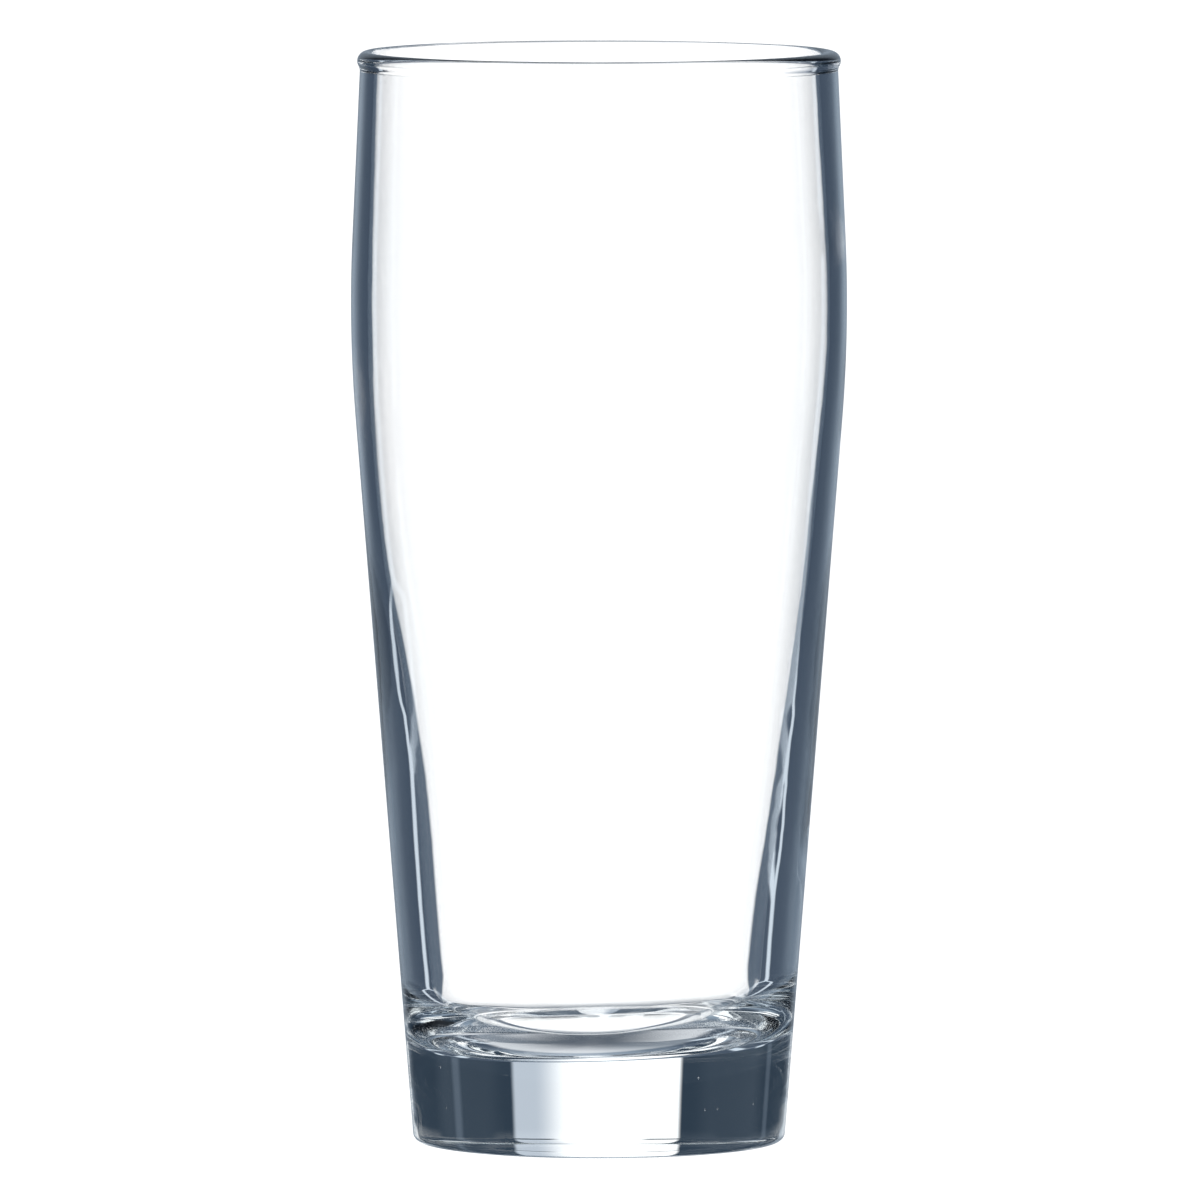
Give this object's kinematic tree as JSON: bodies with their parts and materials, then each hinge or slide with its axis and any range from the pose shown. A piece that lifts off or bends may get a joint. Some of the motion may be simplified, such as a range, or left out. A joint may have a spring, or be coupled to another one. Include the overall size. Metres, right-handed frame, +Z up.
{
  "type": "pint glass",
  "caption": "Clear beer glass with a heavy solid base, a straight tapered lower wall, a soft belly below the mouth and a rounded rim bead.",
  "frame": {"origin": "centre of the flat ring that the glass stands on, at table height", "axes": "+Z up along the glass's axis, from the base to the mouth; the glass is round, so X and Y are any two level directions"},
  "size_m": [0.0748, 0.0748, 0.165],
  "materials": {
    "clear_glass": "clear fire-polished soda-lime glass with a faint cool tint in the thick base, and a lightly scuffed standing ring"
  },
  "bodies": {
    "root": {"glass_body": "clear_glass"}
  },
  "joints": []
}
